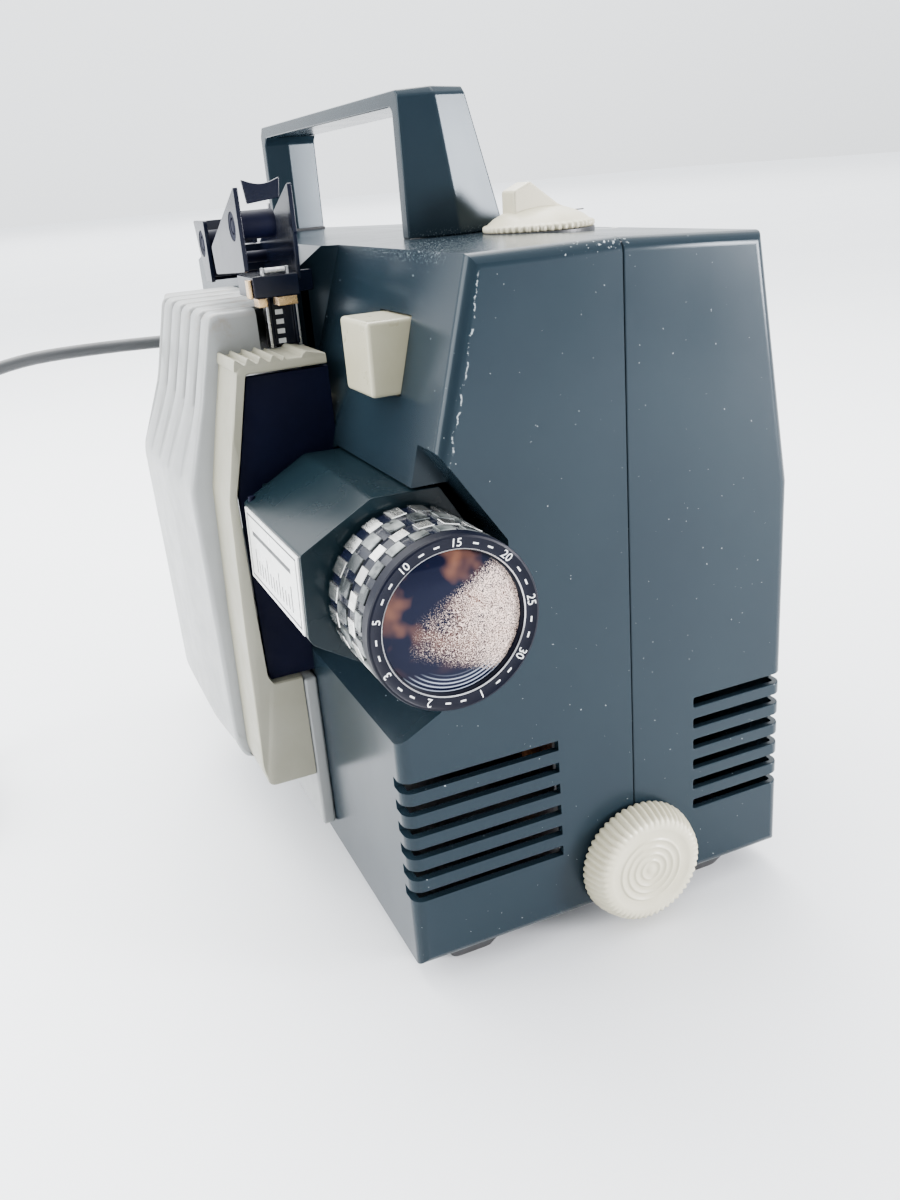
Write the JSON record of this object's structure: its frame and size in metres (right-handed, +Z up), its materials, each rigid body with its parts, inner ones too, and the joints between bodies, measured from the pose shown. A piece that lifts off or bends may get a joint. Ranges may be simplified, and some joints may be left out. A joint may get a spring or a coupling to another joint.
{
  "type": "film projector",
  "caption": "Compact small-gauge film projector with a swing-out zoom lens, a slatted film cover, folding reel arms, a fixed handle and a tilt knob.",
  "frame": {"origin": "centre of the outline on the table, without the mains cord", "axes": "+X to the right seen from the lens end, +Y from the lens to the back, +Z up"},
  "size_m": [0.3416, 0.3, 0.267],
  "materials": {
    "dark_casing": "gloss anthracite plastic with pale chips",
    "grey_cover": "satin silver-grey plastic",
    "black_plastic": "gloss black plastic",
    "ring_black": "black ring with bright knurling",
    "tube_metal": "black anodised aluminium",
    "lens_glass": "coated optical glass",
    "cream_plastic": "aged cream plastic",
    "rubber": "dark rubber",
    "bright_steel": "plain steel",
    "brass": "worn brass",
    "label": "white enamel plate",
    "inner_plastic": "plain moulding",
    "chassis_metal": "plain sheet",
    "mirror": "silvered bowl"
  },
  "bodies": {
    "casing": {"left_shell": "dark_casing", "right_shell": "dark_casing", "rubber_feet": "rubber", "rear_grille": "black_plastic", "carrying_handle": "dark_casing", "film_plate": "grey_cover", "film_chute": "black_plastic", "gate_panel": "black_plastic", "film_gate": "bright_steel", "carrier_pin": "bright_steel", "arm_pins": "bright_steel", "guide_block": "black_plastic", "brass_guides": "brass", "chassis_plate": "chassis_metal", "shaft_posts": "inner_plastic", "heat_shield": "bright_steel", "motor": "bright_steel", "lamp_reflector": "mirror", "halogen_bulb": "lens_glass", "lamp_socket": "inner_plastic", "lamp_bracket": "bright_steel", "heat_glass": "lens_glass", "transformer_core": "bright_steel", "transformer_coil": "inner_plastic", "rotary_switch": "inner_plastic", "drive_belt": "rubber", "strain_relief": "rubber", "mains_cord": "rubber", "cord_coil": "rubber", "mains_plug": "rubber"},
    "film_cover": {"film_cover": "grey_cover"},
    "lens_mount": {"lens_carrier": "black_plastic", "label_plate": "label"},
    "lens_barrel": {"lens_tube": "tube_metal", "rear_glass": "lens_glass"},
    "zoom_ring": {"zoom_ring": "ring_black"},
    "focus_ring": {"focus_ring": "ring_black", "front_bezel": "black_plastic", "front_glass": "lens_glass"},
    "function_key": {"function_key": "cream_plastic"},
    "selector": {"selector_dial": "cream_plastic", "selector_shaft": "inner_plastic"},
    "tilt_drive": {"tilt_knob": "cream_plastic", "tilt_shaft": "bright_steel", "tilt_pinion": "inner_plastic"},
    "tilt_leg": {"tilt_foot": "inner_plastic"},
    "front_arm": {"front_reel_arm": "black_plastic"},
    "front_bush": {"front_spindle_bush": "bright_steel"},
    "front_spindle": {"front_spindle": "bright_steel"},
    "rear_arm": {"rear_reel_arm": "black_plastic"},
    "rear_bush": {"rear_spindle_bush": "bright_steel"},
    "rear_spindle": {"rear_spindle": "bright_steel"},
    "motor_rotor": {"motor_shaft": "bright_steel", "motor_pulley": "inner_plastic", "cooling_fan": "tube_metal"},
    "shutter": {"shutter_shaft": "bright_steel", "shutter_disc": "tube_metal", "shutter_pulley": "inner_plastic"},
    "upper_sprocket": {"upper_sprocket": "inner_plastic"},
    "lower_sprocket": {"lower_sprocket": "inner_plastic"}
  },
  "joints": [
    {"name": "cover_pull", "type": "slide", "parent": "casing", "child": "film_cover", "axis": [-1, 0, 0], "range_m": [0, 0.06]},
    {"name": "lens_swing", "type": "hinge", "parent": "casing", "child": "lens_mount", "pos_m": [-0.06805, -0.0525, 0.13], "axis": [0, 0, -1], "range_deg": [0, 55]},
    {"name": "lens_slide", "type": "slide", "parent": "lens_mount", "child": "lens_barrel", "axis": [0, -1, 0], "range_m": [-0.001, 0.01]},
    {"name": "zoom_turn", "type": "hinge", "parent": "lens_barrel", "child": "zoom_ring", "pos_m": [-0.03995, -0.13, 0.1308], "axis": [0, 1, 0], "range_deg": [-40, 40]},
    {"name": "focus_turn", "type": "hinge", "parent": "lens_barrel", "child": "focus_ring", "pos_m": [-0.03995, -0.13, 0.1308], "axis": [0, 1, 0], "range_deg": [-120, 120]},
    {"name": "key_press", "type": "slide", "parent": "casing", "child": "function_key", "axis": [1, 0, 0], "range_m": [0, 0.005], "stiffness_N_per_m": 200},
    {"name": "dial_turn", "type": "hinge", "parent": "casing", "child": "selector", "pos_m": [0.03765, -0.0593, 0.221], "axis": [0, 0, 1], "range_deg": [-60, 60]},
    {"name": "knob_turn", "type": "hinge", "parent": "casing", "child": "tilt_drive", "pos_m": [0.02545, -0.13, 0.0242], "axis": [0, 1, 0], "range_deg": [0, 170]},
    {"name": "leg_slide", "type": "slide", "parent": "casing", "child": "tilt_leg", "axis": [0, 0, -1], "range_m": [0, 0.018]},
    {"name": "front_arm_fold", "type": "hinge", "parent": "casing", "child": "front_arm", "pos_m": [-0.04555, 0.0055, 0.2185], "axis": [-1, 0, 0], "range_deg": [0, 85]},
    {"name": "rear_arm_fold", "type": "hinge", "parent": "casing", "child": "rear_arm", "pos_m": [-0.04555, 0.0275, 0.2136], "axis": [-1, 0, 0], "range_deg": [0, 75]},
    {"name": "front_bush_slide", "type": "slide", "parent": "front_arm", "child": "front_bush", "axis": [-1, 0, 0], "range_m": [0, 0.011]},
    {"name": "rear_bush_slide", "type": "slide", "parent": "rear_arm", "child": "rear_bush", "axis": [-1, 0, 0], "range_m": [0, 0.011]},
    {"name": "front_spindle_spin", "type": "hinge", "parent": "front_bush", "child": "front_spindle", "pos_m": [-0.04555, -0.0235, 0.23], "axis": [1, 0, 0], "continuous": true},
    {"name": "rear_spindle_spin", "type": "hinge", "parent": "rear_bush", "child": "rear_spindle", "pos_m": [-0.04555, 0.0294, 0.2236], "axis": [1, 0, 0], "continuous": true},
    {"name": "motor_spin", "type": "hinge", "parent": "casing", "child": "motor_rotor", "pos_m": [0.03345, 0.1, 0.06], "axis": [0, 1, 0], "continuous": true},
    {"name": "shutter_spin", "type": "hinge", "parent": "casing", "child": "shutter", "pos_m": [-0.01255, 0.02, 0.1308], "axis": [0, 1, 0], "continuous": true},
    {"name": "upper_sprocket_spin", "type": "hinge", "parent": "casing", "child": "upper_sprocket", "pos_m": [-0.03455, -0.0285, 0.172], "axis": [1, 0, 0], "continuous": true},
    {"name": "lower_sprocket_spin", "type": "hinge", "parent": "casing", "child": "lower_sprocket", "pos_m": [-0.03455, -0.0285, 0.092], "axis": [1, 0, 0], "continuous": true}
  ],
  "couplings": [
    {"joint": "leg_slide", "follows": "knob_turn", "m_per_rad": 0.006},
    {"joint": "shutter_spin", "follows": "motor_spin", "ratio": 0.3735},
    {"joint": "upper_sprocket_spin", "follows": "motor_spin", "ratio": 0.0311},
    {"joint": "lower_sprocket_spin", "follows": "motor_spin", "ratio": -0.0311}
  ]
}
